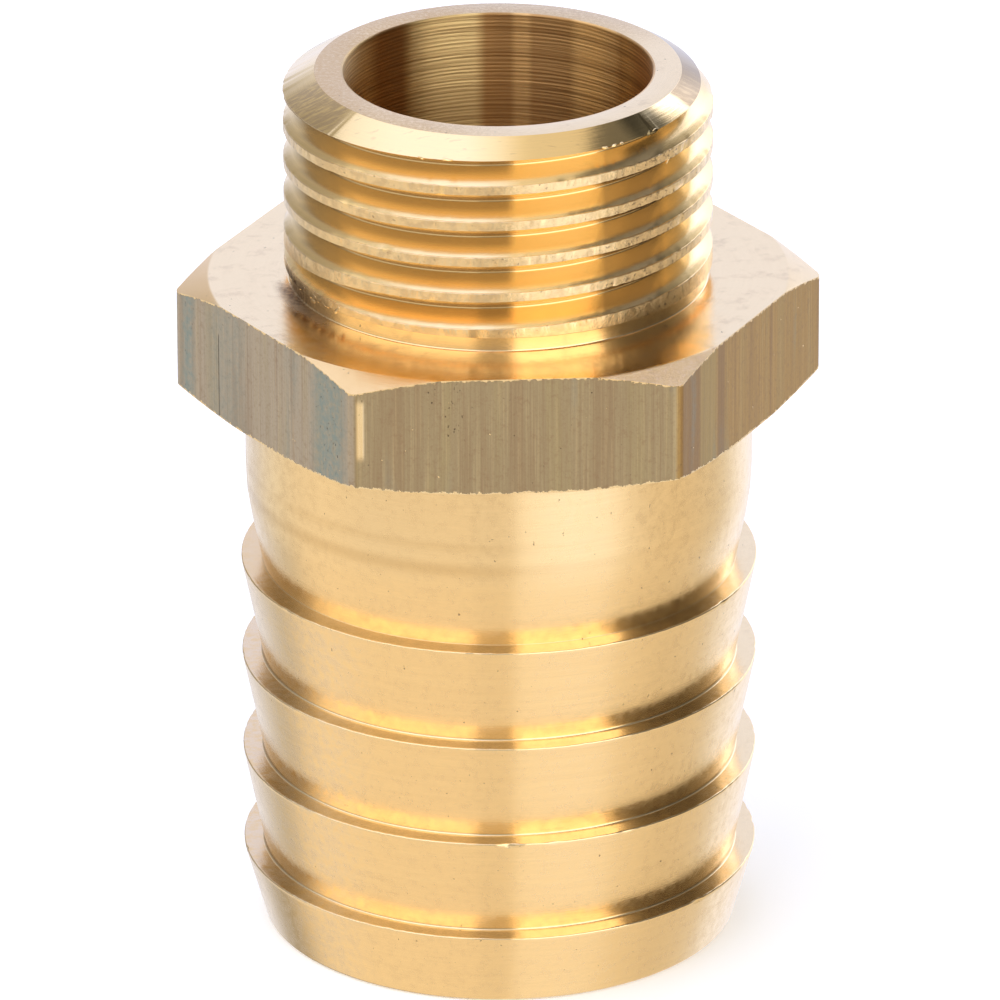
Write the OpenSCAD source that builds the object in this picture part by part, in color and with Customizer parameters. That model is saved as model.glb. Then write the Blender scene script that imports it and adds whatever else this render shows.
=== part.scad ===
// Threaded hose nipple, turned in one piece from hexagonal brass bar.
// The hose end stands on z = 0 and +Z runs along the axis towards the threaded end.
// All sizes are in millimetres and all angles in degrees.

/* [Bore] */
// Diameter of the through bore
bore_d = 14.8; // [8:0.1:16]

/* [Thread] */
// Diameter over the flat thread crests
thread_d = 20.6; // [19.6:0.05:21.4]
// Axial distance from one crest to the next, 14 threads to the inch
thread_pitch = 1.814; // [1.6:0.002:2]
// Angle between the two flanks of a groove
thread_angle = 55; // [50:1:60]
// Radial depth from the crest to the bottom of the groove
thread_depth = 0.98; // [0.7:0.01:1.05]
// Radius that rounds the bottom of the groove
thread_root_r = 0.25; // [0.1:0.01:0.3]
// Direction, counted from +X, in which the groove leaves the rim
thread_start = 163; // [0:1:359]
// Distance from the rim to where the groove has run out
thread_l = 9.2; // [6:0.05:9.4]
// Turn over which the groove runs out to nothing
thread_runout = 100; // [40:5:180]

/* [Threaded end] */
// Length from the hexagon to the rim
shank_l = 10.45; // [10:0.05:14]
// Outer diameter of the flat rim inside the chamfer
rim_d = 17.55; // [17:0.05:19]
// Slope of the chamfer behind the rim, counted from the rim's plane
rim_chamfer = 30; // [20:1:45]
// Diameter of the plain neck between thread and hexagon
neck_d = 20.1; // [18.6:0.05:20.5]
// Length of the plain neck
neck_l = 0.75; // [0.45:0.05:1.5]
// Radius in the corner where the neck meets the hexagon
neck_foot_r = 0.2; // [0.05:0.05:0.4]

/* [Hexagon] */
// Width across the flats
hex_af = 27; // [25.5:0.1:34]
// How far the drawn bar's corners are rounded back from sharp
hex_corner_cut = 0.09; // [0.02:0.01:0.5]
// Length of the hexagon along the axis
hex_l = 5.85; // [3:0.05:12]
// Direction of one flat's normal, counted from -Y towards +X
hex_turn = 3.4; // [0:0.1:59.9]
// How far past the flats' middle the face towards the thread stays level
hex_top_level = 0.47; // [0:0.01:1]
// How far past the flats' middle the face towards the hose stays level
hex_bottom_level = 0.175; // [0:0.005:1]
// Slope of the corner chamfer on the face towards the thread
hex_top_chamfer = 21; // [5:1:40]
// Slope of the corner chamfer on the face towards the hose
hex_bottom_chamfer = 15; // [5:1:40]

/* [Hose tail] */
// Length from the hose end to the hexagon
tail_l = 27.5; // [24:0.1:40]
// Diameter of the plain stretch below the hexagon
tail_d = 24.5; // [23.2:0.05:26]
// Number of barbs
barb_count = 4; // [1:1:4]
// Diameter over the sharp edge of each barb
barb_d = 25.05; // [23.6:0.05:26]
// Diameter at the foot of each barb's square shoulder
barb_root_d = 23; // [22:0.05:23.2]
// Axial distance from one barb to the next
barb_pitch = 5; // [3:0.1:5.5]
// Height of the first barb's edge above the hose end
first_barb_z = 3.8; // [2:0.1:5]
// Diameter at the hose end, before its edge is broken
hose_end_d = 22.9; // [20:0.05:23]
// Size of the broken outer edge at the hose end
hose_end_break = 0.25; // [0.05:0.05:0.8]

/* [Hidden] */

// Segments in a full turn of the round surfaces, and of the thread groove
round_fn = 120;
thread_fn = 60;
// Segments in the rounded bottom of the groove, and in the fillet at the neck's foot
thread_root_fn = 4;
foot_fn = 4;
// Amount by which a cut overruns the surface that it leaves
overrun = 1;

// Heights of the faces that square off the turned forms
hex_bottom_z = tail_l;
hex_mid_z = hex_bottom_z + hex_l / 2;
hex_top_z = hex_bottom_z + hex_l;
neck_top_z = hex_top_z + neck_l;
rim_z = hex_top_z + shank_l;

// Outline of the hose tail from the hose end up, as [radius, height].
// Each barb widens to a sharp edge, then steps in square to its root.
function barb_z(i) = first_barb_z + i * barb_pitch;
barb_slope = (barb_d - barb_root_d) / 2 / barb_pitch;
lead_in_l = (tail_d - barb_root_d) / 2 / barb_slope;
lead_in_z = barb_z(barb_count - 1) + lead_in_l;
tail_outline = concat(
    [
        [0, 0],
        [hose_end_d / 2 - hose_end_break, 0],
        [hose_end_d / 2, hose_end_break]
    ],
    [
        for (i = [0 : barb_count - 1])
            for (r = [barb_d / 2, barb_root_d / 2])
                [r, barb_z(i)]
    ],
    [
        [tail_d / 2, lead_in_z],
        [tail_d / 2, hex_mid_z]
    ]
);

// Outline of the threaded end, from inside the hexagon up to the rim.
// A small fillet leads from the hexagon's face into the neck.
chamfer_l = (thread_d - rim_d) / 2 * tan(rim_chamfer);
foot_centre = [neck_d / 2 + neck_foot_r, hex_top_z + neck_foot_r];
shank_outline = concat(
    [[foot_centre[0], hex_mid_z]],
    [
        for (k = [0 : foot_fn])
            let (a = 270 - 90 * k / foot_fn)
                foot_centre + neck_foot_r * [cos(a), sin(a)]
    ],
    [
        [neck_d / 2, neck_top_z],
        [thread_d / 2, neck_top_z],
        [thread_d / 2, rim_z - chamfer_l],
        [rim_d / 2, rim_z],
        [0, rim_z]
    ]
);

// Cross-section of the groove's cutter as [outwards from the crest, along the axis].
// The rounded bottom meets both flanks at a tangent.
flank = thread_angle / 2;
root_centre = thread_depth - thread_root_r;
groove_half_w = thread_root_r * cos(flank)
    + (root_centre + thread_root_r * sin(flank)) * tan(flank);
crest_w = thread_pitch - 2 * groove_half_w;
// The cutter reaches out past the crest, but stops short of its own next turn
cutter_out = 0.35 * crest_w / tan(flank);
cutter_half_w = groove_half_w + cutter_out * tan(flank);
root_sweep = 90 - flank;
groove_section = concat(
    [[cutter_out, -cutter_half_w]],
    [
        for (k = [0 : thread_root_fn])
            let (a = root_sweep * (2 * k / thread_root_fn - 1))
                [-root_centre - thread_root_r * cos(a), thread_root_r * sin(a)]
    ],
    [[cutter_out, cutter_half_w]]
);

// The groove is followed down from just above the rim. Its progress is the angle turned,
// zero where the middle of the groove passes the rim's plane.
turn_first = -360 * (cutter_half_w + 0.1) / thread_pitch;
turn_last = 360 * thread_l / thread_pitch;
turn_steps = ceil((turn_last - turn_first) * thread_fn / 360);

// The cutter backs straight out of the metal over the run-out
function runout_share(turn) = max(0, 1 - (turn_last - turn) / thread_runout);
function groove_lift(turn) = 1.03 * thread_depth * runout_share(turn);
function groove_point(turn, p) =
    let (
        r = thread_d / 2 + p[0] + groove_lift(turn),
        a = thread_start - turn
    )
    [r * cos(a), r * sin(a), rim_z - thread_pitch * turn / 360 + p[1]];

module thread_groove() {
    n = len(groove_section);
    points = [
        for (i = [0 : turn_steps])
            let (turn = turn_first + (turn_last - turn_first) * i / turn_steps)
                for (p = groove_section)
                    groove_point(turn, p)
    ];
    sides = [
        for (i = [0 : turn_steps - 1])
            for (j = [0 : n - 1])
                let (
                    a = i * n + j,
                    b = i * n + (j + 1) % n,
                    c = a + n,
                    d = b + n
                )
                for (face = [[a, b, c], [b, d, c]])
                    face
    ];
    start_cap = [for (j = [n - 1 : -1 : 0]) j];
    end_cap = [for (j = [0 : n - 1]) turn_steps * n + j];
    polyhedron(points, concat(sides, [start_cap, end_cap]), convexity = 12);
}

// Everything turned on the outside: barbed tail, neck, threaded shank and rim
module turned_body() {
    rotate_extrude($fn = round_fn)
        polygon(concat(tail_outline, shank_outline));
}

// The bar's six flats, cut down at the corners by the turned faces
module hexagon() {
    sharp_r = hex_af / 2 / cos(30);
    corner_r = sharp_r - hex_corner_cut;
    top_r = hex_af / 2 + hex_top_level;
    bottom_r = hex_af / 2 + hex_bottom_level;
    top_drop = (corner_r - top_r) * tan(hex_top_chamfer);
    bottom_drop = (corner_r - bottom_r) * tan(hex_bottom_chamfer);
    intersection() {
        translate([0, 0, hex_bottom_z])
            rotate([0, 0, hex_turn])
                cylinder(r = sharp_r, h = hex_l, $fn = 6);
        rotate_extrude($fn = round_fn)
            polygon([
                [0, hex_bottom_z],
                [bottom_r, hex_bottom_z],
                [corner_r, hex_bottom_z + bottom_drop],
                [corner_r, hex_top_z - top_drop],
                [top_r, hex_top_z],
                [0, hex_top_z]
            ]);
    }
}

module bore() {
    translate([0, 0, -overrun])
        cylinder(d = bore_d, h = rim_z + 2 * overrun, $fn = round_fn);
}

module hose_nipple() {
    color("#c8a868")
        difference() {
            union() {
                turned_body();
                hexagon();
            }
            thread_groove();
            bore();
        }
}

hose_nipple();
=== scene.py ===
import math

import bpy
from mathutils import Matrix, Vector, noise


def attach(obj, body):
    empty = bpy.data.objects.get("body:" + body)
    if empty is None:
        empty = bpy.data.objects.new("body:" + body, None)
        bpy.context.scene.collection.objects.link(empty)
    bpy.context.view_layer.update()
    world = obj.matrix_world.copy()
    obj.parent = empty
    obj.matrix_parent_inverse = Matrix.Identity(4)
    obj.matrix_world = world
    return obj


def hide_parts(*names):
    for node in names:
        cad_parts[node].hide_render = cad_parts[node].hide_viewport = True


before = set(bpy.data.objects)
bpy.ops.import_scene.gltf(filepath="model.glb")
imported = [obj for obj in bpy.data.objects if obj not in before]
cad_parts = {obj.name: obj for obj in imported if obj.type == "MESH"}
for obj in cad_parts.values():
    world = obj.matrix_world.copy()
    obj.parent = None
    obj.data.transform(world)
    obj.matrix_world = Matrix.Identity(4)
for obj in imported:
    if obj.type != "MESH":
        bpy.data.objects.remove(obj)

bl_info = {
    "name": "Threaded hose nipple",
    "version": (1, 0, 0),
    "blender": (4, 5, 0),
    "location": "View3D > Sidebar > Nipple",
    "description": "Models a turned brass hose nipple and its photo table",
    "category": "Object",
}

MM = 0.001
ROUND_STEPS = 360       # facets in a full turn
GRAIN = 1000.0          # object coordinates to millimetres in the materials
SAME = 1e-7             # vertices closer than this are one
SLACK = 1e-5            # how near a face lies to the plane that it was cut on
FEWEST_FACES = 10000    # a piece with fewer has lost its cuts
SMOOTH_UNDER = math.radians(30)
MIDDLE = 22 * MM        # height that the camera looks at
AIM_RIGHT = 0.054 * MM  # how far to the right of the axis the camera aims
AIM_DOWN = 0.551 * MM   # how far under the middle the camera aims
FLOOR_GAP = 0.02 * MM   # how far the floor lies under the part
TEAR_SEED = 1           # fixes the torn chips' shapes, which would differ in each run


def linear(code):
    """Turns an sRGB hex colour into the linear values that a shader takes."""
    parts = [int(code[i:i + 2], 16) / 255 for i in (1, 3, 5)]
    return tuple(c / 12.92 if c <= 0.04045 else ((c + 0.055) / 1.055) ** 2.4 for c in parts)


def length(name, description, millimetres):
    return bpy.props.FloatProperty(
        name=name, description=description, default=millimetres * MM, min=0.0,
        precision=5, unit="LENGTH")


def turn(name, description, degrees):
    return bpy.props.FloatProperty(
        name=name, description=description, default=math.radians(degrees), subtype="ANGLE")


def share(name, description, value, top=1.0):
    return bpy.props.FloatProperty(
        name=name, description=description, default=value, min=0.0, max=top, subtype="FACTOR")


def colour(name, description, code):
    return bpy.props.FloatVectorProperty(
        name=name, description=description, default=linear(code), size=3, min=0.0, max=1.0,
        subtype="COLOR")


class NippleSizes(bpy.types.PropertyGroup):
    bore_d: length("Bore", "Diameter of the through bore", 14.8)
    bore_edge: length("Bore edge", "Rounding of the bore's two mouths", 0.12)
    rim_z: length("Height", "Height of the rim above the hose end", 43.8)
    rim_d: length("Rim", "Outer diameter of the flat rim", 17.55)
    rim_chamfer: turn("Rim chamfer", "Slope of the chamfer from the rim's plane", 30)

    thread_d: length("Thread", "Diameter over the flat crests", 20.6)
    thread_pitch: length("Pitch", "Distance from crest to crest", 1.814)
    thread_angle: turn("Thread angle", "Angle between the flanks of a groove", 55)
    thread_crest: length("Crest width", "Width of the flat crests along the axis", 0.414)
    thread_brow: length("Crest shoulder", "Depth of the crests' rolled shoulders", 0.19)
    brow_angle: turn("Shoulder angle", "Angle of the rolled shoulders from square", 44)
    brow_r: length("Shoulder radius", "Radius of the rolled shoulders", 1.7)
    thread_root: length("Root radius", "Radius at the bottom of the groove", 0.27)
    thread_edge: length("Crest edge", "Rounding of the crests' edges", 0.035)
    thread_start: turn("Thread start", "Direction in which the groove leaves the rim", 163)
    thread_l: length("Thread length", "Distance from the rim to the groove's end", 9.2)
    thread_runout: turn("Run-out", "Turn over which the groove fades out", 100)
    neck_d: length("Neck", "Diameter of the neck under the thread", 20.1)
    neck_l: length("Neck length", "Height of the last crest above the hexagon", 0.75)
    neck_foot: length("Neck foot", "Radius in the corner at the neck's foot", 0.09)

    hex_af: length("Across flats", "Width across the hexagon's flats", 27)
    hex_corner: length("Bar corner", "Rounding width of the drawn bar's corners", 0.35)
    hex_top: length("Hexagon top", "Height of the hexagon's upper face", 33.35)
    hex_l: length("Hexagon length", "Length of the hexagon along the axis", 5.85)
    hex_turn: turn("Hexagon turn", "Direction of a flat, from -Y towards +X", 3.4)
    hex_top_level: length("Upper face", "Reach of the upper level face past the flats", 0.47)
    hex_top_slope: turn("Upper chamfer", "Slope of the upper corner chamfer", 21)
    hex_bottom_level: length("Lower face", "Reach of the lower level face past the flats", 0.175)
    hex_bottom_slope: turn("Lower chamfer", "Slope of the lower corner chamfer", 15)

    tail_d: length("Tail", "Diameter of the plain stretch under the hexagon", 24.5)
    barb_d: length("Barb", "Diameter over the barbs' edges", 25.05)
    root_d: length("Barb root", "Diameter at the barbs' roots", 23.0)
    barb_pitch: length("Barb pitch", "Distance from barb to barb", 5.0)
    barb_first: length("First barb", "Height of the lowest barb's edge", 3.8)
    barb_count: bpy.props.IntProperty(
        name="Barbs", description="Number of barbs", default=4, min=1, max=4)
    barb_edge: length("Barb edge", "Rounding of the barbs' edges", 0.07)
    barb_foot: length("Barb foot", "Radius in the corner above each barb", 0.1)
    end_d: length("Hose end", "Diameter at the hose end", 22.9)
    end_edge: length("End edge", "Rounding of the hose end's outer edge", 0.25)


class BrassFinish(bpy.types.PropertyGroup):
    brass: colour("Brass", "Freshly turned brass", "#f9daa6")
    deep: colour("Deep brass", "Brass in tool marks and scratches", "#e5c494")
    skin: colour("Bar skin", "Dull skin of the drawn bar", "#ab9877")
    # Painted light: the left and right flats get their own tints of the bar's skin, standing in for
    # the different light that each flat reflects.
    skin_left_painted_light: colour("Left skin", "Pinkish grey skin of the left flat", "#bcae9b")
    skin_right_painted_light: colour("Right skin", "Browner skin of the right flat", "#bb985f")
    # This dark skin colour also paints bands of shade on the right flat.
    skin_dark_and_shade: colour("Dark skin", "Dark drawing lines and stains on the skin", "#94765a")
    # This pale skin colour also paints a band of reflected light on the right flat.
    skin_pale_and_sheen: colour("Pale skin", "Olive bands on the skin", "#b3a273")
    patina: colour("Patina", "Blue-grey stains on the skin", "#93a09c")
    # This colour also paints shade deeper down the bore.
    bore_lines_and_shade: colour("Bore lines", "Dark feed lines in the bore", "#865a2b")
    pit: colour("Pits", "Dark pits in the skin", "#50463a")
    groove: colour("Groove", "Brass on the thread's flanks", "#fad89a")
    # Painted shade: this dulled colour darkens the thread low in the groove and in bands at the
    # sides, standing in for shade and darker reflections there.
    darkened_tone: colour("Tarnish", "Dulled brass down in the thread", "#cfb486")
    # This dark brown also paints the torn patch's shadow and reflection on the hexagon's top.
    scorch_and_shadow: colour("Scorch", "Dark brown brass where the thread's end is torn", "#56341f")
    # Painted reflection: the colour of the bright streaks placed down the bore, with the next
    # colour between them.
    bore_reflection: colour("Bore wall", "Golden streaks down the bored wall", "#ffdf9c")
    bore_dark: colour("Dark bore", "Browner brass between the streaks", "#cb9c63")
    # Painted reflection: this yellower colour on upward faces at the far left and on two corner
    # slopes stands in for reflected light.
    golden_reflection: colour("Golden face", "Yellower brass on worn upward faces", "#e6bd80")
    rim_dull: colour("Dulled rim", "Warm tarnish on the rim", "#d0a566")
    # Painted reflection: redder streaks on the bore's right side.
    streak: colour("Bore streak", "Reddish gold streaks in the bore", "#ebb774")
    # Painted reflection: a mottled greyish tint on the tail's left side, standing in for the cool
    # light reflected there.
    left_cool_reflection: colour("Greyed brass", "Pale greyish film on the tail's left side", "#ecdcc6")
    ring: colour("Tool ring", "Darker rings round the tail", "#d0ad78")
    smear: colour("Smear", "Dark smear on the chamfer", "#6f6347")
    grey: colour("Greyed end", "Greyish dull brass at the chamfer's right end", "#a08660")
    # Painted highlight: this pale colour stands in for a glint on the grainy corner slope.
    glint: colour("Glint", "Pale pinkish grain on a corner slope", "#ffe4c8")
    faced_dull: colour("Dulled face", "Duller patches on the faced shoulders", "#c4a882")
    turned_roughness: share("Turned roughness", "Roughness of the turned tail", 0.24)
    thread_roughness: share("Thread roughness", "Roughness of the thread", 0.17)
    faced_roughness: share("Faced roughness", "Roughness of the faced shoulders", 0.17)
    skin_roughness: share("Skin roughness", "Roughness of the bar's skin", 0.42)
    bore_roughness: share("Bore roughness", "Roughness of the bored wall", 0.36)


class PhotoTable(bpy.types.PropertyGroup):
    camera_height: turn("Camera height", "Angle of the camera above the horizon", 23.14)
    camera_away: length("Camera distance", "Distance from the camera to the part", 600)
    camera_lens: bpy.props.FloatProperty(
        name="Lens", description="Focal length", default=446.0, min=1.0,
        unit="CAMERA")
    camera_roll: turn("Camera roll", "Turn of the camera about its own view", 0.125)
    floor_size: length("Floor", "Width of the pale floor", 3000)
    floor_colour: colour("Floor colour", "Colour of the floor", "#f4f4f4")


def deselect():
    for obj in bpy.context.selected_objects:
        obj.select_set(False)
    bpy.context.view_layer.objects.active = None


def take(obj):
    """Makes obj the only selected and the active object."""
    deselect()
    obj.select_set(True)
    bpy.context.view_layer.objects.active = obj


def edit(obj, kind="VERT", everything=True):
    take(obj)
    bpy.ops.object.mode_set(mode="EDIT")
    bpy.ops.mesh.select_mode(type=kind)
    bpy.ops.mesh.select_all(action="SELECT" if everything else "DESELECT")


def done():
    bpy.ops.object.mode_set(mode="OBJECT")


def modify(obj, kind, **settings):
    """Adds a modifier with its settings and applies it."""
    take(obj)
    mod = obj.modifiers.new(kind.title(), kind)
    for key, value in settings.items():
        setattr(mod, key, value)
    bpy.ops.object.modifier_apply(modifier=mod.name)


def combine(obj, other, operation):
    """Adds, cuts or crosses obj with another solid, which is then removed."""
    modify(obj, "BOOLEAN", operation=operation, object=other, solver="MANIFOLD")
    bpy.data.objects.remove(other, do_unlink=True)


def rounded(corners, bend=18):
    """Rounds the corners (across, along, radius) of an outline, with a point each bend degrees."""
    points = []
    for i, (a, b, radius) in enumerate(corners):
        here = Vector((a, b))
        before, after = corners[i - 1], corners[(i + 1) % len(corners)]
        if radius <= 0:
            points.append(here)
            continue
        back, on = Vector(before[:2]) - here, Vector(after[:2]) - here
        # neighbouring roundings share the side between them by their radii
        room = 0.98 * min(back.length * radius / (radius + before[2]),
                          on.length * radius / (radius + after[2]))
        back.normalize()
        on.normalize()
        half = back.angle(on) / 2
        reach = min(radius / math.tan(half), room)
        radius = reach * math.tan(half)
        centre = here + (back + on).normalized() * radius / math.sin(half)
        first, last = here + back * reach - centre, here + on * reach - centre
        sweep = first.angle_signed(last)
        steps = max(2, math.ceil(abs(sweep) / math.radians(bend)))
        for k in range(steps + 1):
            points.append(centre + Matrix.Rotation(-sweep * k / steps, 2) @ first)
    return points


def trace(name, points, angle=0.0):
    """Draws a closed outline in the plane through the axis, corner by corner."""
    ends = [Vector((p[0] * math.cos(angle), p[0] * math.sin(angle), p[1])) for p in points]
    deselect()
    bpy.ops.mesh.primitive_plane_add(size=MM, location=(0, 0, 0))
    obj = bpy.context.object
    obj.name = name
    edit(obj)
    bpy.ops.mesh.merge(type="CENTER")
    bpy.ops.transform.translate(value=ends[0])
    for before, after in zip(ends, ends[1:] + ends[:1]):
        bpy.ops.mesh.extrude_region_move(TRANSFORM_OT_translate={"value": after - before})
    bpy.ops.mesh.select_all(action="SELECT")
    bpy.ops.mesh.remove_doubles(threshold=SAME)
    done()
    return obj


def turned(name, corners, steps=ROUND_STEPS):
    """Spins a closed outline round the axis into a solid."""
    obj = trace(name, rounded(corners))
    edit(obj)
    bpy.ops.mesh.spin(steps=steps, angle=math.tau, center=(0, 0, 0), axis=(0, 0, 1))
    bpy.ops.mesh.select_all(action="SELECT")
    bpy.ops.mesh.remove_doubles(threshold=SAME)
    bpy.ops.mesh.normals_make_consistent(inside=False)
    done()
    return obj


class NippleShape:
    """Lengths that follow from the sizes."""

    def __init__(self, s):
        self.s = s
        self.bore_r = s.bore_d / 2
        self.thread_r = s.thread_d / 2
        self.hex_bottom = s.hex_top - s.hex_l
        self.hex_mid = s.hex_top - s.hex_l / 2
        self.neck_top = s.hex_top + s.neck_l
        self.chamfer_l = (self.thread_r - s.rim_d / 2) * math.tan(s.rim_chamfer)
        self.groove_half = (s.thread_pitch - s.thread_crest) / 2
        self.brow_half = self.groove_half - s.thread_brow * math.tan(s.brow_angle)
        self.groove_apex = s.thread_brow + self.brow_half / math.tan(s.thread_angle / 2)
        self.sharp_r = s.hex_af / 2 / math.cos(math.radians(30))
        self.top_r = s.hex_af / 2 + s.hex_top_level
        self.bottom_r = s.hex_af / 2 + s.hex_bottom_level

    def body_corners(self):
        s = self.s
        corners = [
            (self.bore_r, 0, s.bore_edge),
            (s.end_d / 2, 0, s.end_edge),
        ]
        slope = (s.barb_d - s.root_d) / 2 / s.barb_pitch
        hold = 0.22 * MM    # rings beside each edge, so that its nicks stay small
        for i in range(s.barb_count):
            z = s.barb_first + i * s.barb_pitch
            corners.append((s.barb_d / 2 - slope * hold, z - hold, 0))
            corners.append((s.barb_d / 2, z, s.barb_edge))
            corners.append((s.barb_d / 2 - hold, z, 0))
            corners.append((s.root_d / 2, z, s.barb_foot))
        lead_in = z + (s.tail_d - s.root_d) / 2 / slope
        foot_r = s.neck_d / 2 + 1.5 * s.neck_foot
        lead_r, edge, chamfer_edge = 12 * MM, 0.05 * MM, 0.06 * MM
        corners += [
            (s.tail_d / 2, lead_in, lead_r),
            (s.tail_d / 2, self.hex_mid, 0),
            (foot_r, self.hex_mid, 0),
            (foot_r, s.hex_top, 0),
            (s.neck_d / 2, s.hex_top, s.neck_foot),
            (s.neck_d / 2, self.neck_top, edge),
            (self.thread_r, self.neck_top, edge),
            (self.thread_r, s.rim_z - self.chamfer_l, chamfer_edge),
            (s.rim_d / 2, s.rim_z, edge),
            (self.bore_r, s.rim_z, s.bore_edge),
        ]
        return corners

    def envelope_corners(self):
        s = self.s
        reach = self.sharp_r + MM
        rise = (reach - self.top_r) * math.tan(s.hex_top_slope)
        fall = (reach - self.bottom_r) * math.tan(s.hex_bottom_slope)
        inner, edge = 8.5 * MM, 0.3 * MM
        return [
            (inner, self.hex_bottom, 0),
            (self.bottom_r, self.hex_bottom, edge),
            (reach, self.hex_bottom + fall, 0),
            (reach, s.hex_top - rise, 0),
            (self.top_r, s.hex_top, edge),
            (inner, s.hex_top, 0),
        ]

    def groove_section(self):
        """The groove's outline as (outwards from the crest, along the axis).
        Beside the groove the cutter skims over the crests, then widens clear of them."""
        s = self.s
        skim, clear = 0.004 * MM, 0.25 * MM
        brim, wide = 0.12 * MM, 0.15 * MM
        side = [(clear, self.groove_half + wide, 0),
                (skim, self.groove_half + brim, 0),
                (0, self.groove_half, s.thread_edge),
                (-s.thread_brow, self.brow_half, s.brow_r)]
        lower = [(out, -along, radius) for out, along, radius in side]
        return rounded(lower + [(-self.groove_apex, 0, s.thread_root)] + side[::-1], bend=22)


def make_hexagon(shape):
    """Hexagonal bar, its corners rounded, faced off by the turned envelope."""
    s = shape.s
    deselect()
    bpy.ops.mesh.primitive_cylinder_add(
        vertices=6, radius=shape.sharp_r, depth=s.hex_l + 2 * MM,
        location=(0, 0, shape.hex_mid), rotation=(0, 0, math.radians(30) + s.hex_turn))
    bar = bpy.context.object
    bpy.ops.object.transform_apply(location=True, rotation=True, scale=True)
    edit(bar, "EDGE", everything=False)
    done()
    for edge in bar.data.edges:
        a, b = (bar.data.vertices[i].co for i in edge.vertices)
        edge.select = abs(a.z - b.z) > MM
    bpy.ops.object.mode_set(mode="EDIT")
    bpy.ops.mesh.bevel(offset=s.hex_corner, segments=5, affect="EDGES")
    done()
    combine(bar, turned("Envelope", shape.envelope_corners()), "INTERSECT")
    return bar


def make_groove(shape):
    """The thread's groove as a solid: its outline screwed up the axis, backing out at its end."""
    s = shape.s
    section = shape.groove_section()
    past_rim = 0.45
    turns = s.thread_l / s.thread_pitch + past_rim
    start = s.thread_start - math.tau * s.thread_l / s.thread_pitch
    steps = round(turns * ROUND_STEPS)
    low = s.rim_z - s.thread_l
    groove = trace("Groove", [(shape.thread_r + p[0], low + p[1]) for p in section], start)
    count = len(groove.data.vertices)
    modify(groove, "SCREW", axis="Z", angle=math.tau * steps / ROUND_STEPS, steps=steps,
           render_steps=steps, screw_offset=s.thread_pitch * steps / ROUND_STEPS,
           use_merge_vertices=False)
    for vertex in groove.data.vertices:
        angle = math.tau * (vertex.index // count) / ROUND_STEPS
        out = max(0.0, 1 - angle / s.thread_runout)
        r = math.hypot(vertex.co.x, vertex.co.y)
        lift = 1.03 * shape.groove_apex * out
        grow = 1 + lift / r
        vertex.co.x *= grow
        vertex.co.y *= grow
    edit(groove)
    bpy.ops.mesh.fill_holes(sides=0)
    bpy.ops.mesh.select_all(action="SELECT")
    bpy.ops.mesh.normals_make_consistent(inside=False)
    done()
    return groove


# Chips that the tools left, as (direction in degrees from the camera's side towards the right,
# rough distance from the axis, rough height, length round the axis, width, tilt in degrees).
# Each is moved onto the surface nearest to its place.
BURRS = [
    (-72, 10.12, 34.3, 0.6, 0.3, 10), (-68, 10.2, 34.1, 0.5, 0.2, -15),
    (-64.5, 10.25, 34.3, 0.45, 0.16, 20), (-61, 10.22, 34.12, 0.4, 0.2, 30),
    (-58.5, 10.24, 34.3, 0.35, 0.16, -30), (-57, 10.2, 34.12, 0.35, 0.16, 15),
    (-55.5, 10.24, 34.3, 0.35, 0.16, 50), (-53, 10.22, 34.15, 0.4, 0.15, -20),
    (-50.5, 10.25, 34.3, 0.4, 0.2, 35), (-48.5, 10.28, 34.12, 0.42, 0.2, 60),
    (-47.2, 10.28, 34.3, 0.3, 0.15, -50), (-62, 10.14, 33.8, 0.6, 0.25, 5),
    (48.5, 9.9, 42.93, 0.75, 0.22, 4), (46.0, 10.1, 42.78, 0.3, 0.14, 70),
    (51.5, 10.26, 41.6, 0.35, 0.1, 60), (30.5, 10.27, 42.93, 0.3, 0.12, -10),
    (33.5, 10.26, 42.94, 0.28, 0.1, 20), (36.0, 10.27, 42.93, 0.25, 0.12, -15),
    (-13.5, 10.27, 42.92, 0.55, 0.12, 3), (-21.0, 10.26, 42.93, 0.35, 0.1, -12),
]


def make_burrs(piece, shape):
    """Small torn chips, flattened and roughened, each half sunk in the piece's nearest surface."""
    thick, tear = 0.16, 0.05 * MM
    widest = shape.thread_r + 0.02 * MM
    noise.seed_set(TEAR_SEED)
    burrs = None
    for direction, away, height, along, wide, tilt in BURRS:
        a = math.radians(direction)
        near = Vector((away * math.sin(a), -away * math.cos(a), height)) * MM
        found, spot = piece.closest_point_on_mesh(near)[:2]
        if not found:
            raise RuntimeError("a burr found no surface")
        deselect()
        bpy.ops.mesh.primitive_ico_sphere_add(
            subdivisions=2, radius=0.5 * MM, scale=(along, thick, wide), location=spot,
            rotation=(0, math.radians(tilt), a + math.pi))
        chip = bpy.context.object
        bpy.ops.object.transform_apply(location=True, rotation=True, scale=True)
        for vertex in chip.data.vertices:
            torn = noise.noise_vector(vertex.co * GRAIN * 5.0)
            vertex.co += torn * tear
            r = math.hypot(vertex.co.x, vertex.co.y)
            shrink = min(1.0, widest / r)
            vertex.co.x *= shrink
            vertex.co.y *= shrink
        if burrs is None:
            burrs = chip
        else:
            combine(burrs, chip, "UNION")
    return burrs


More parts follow.
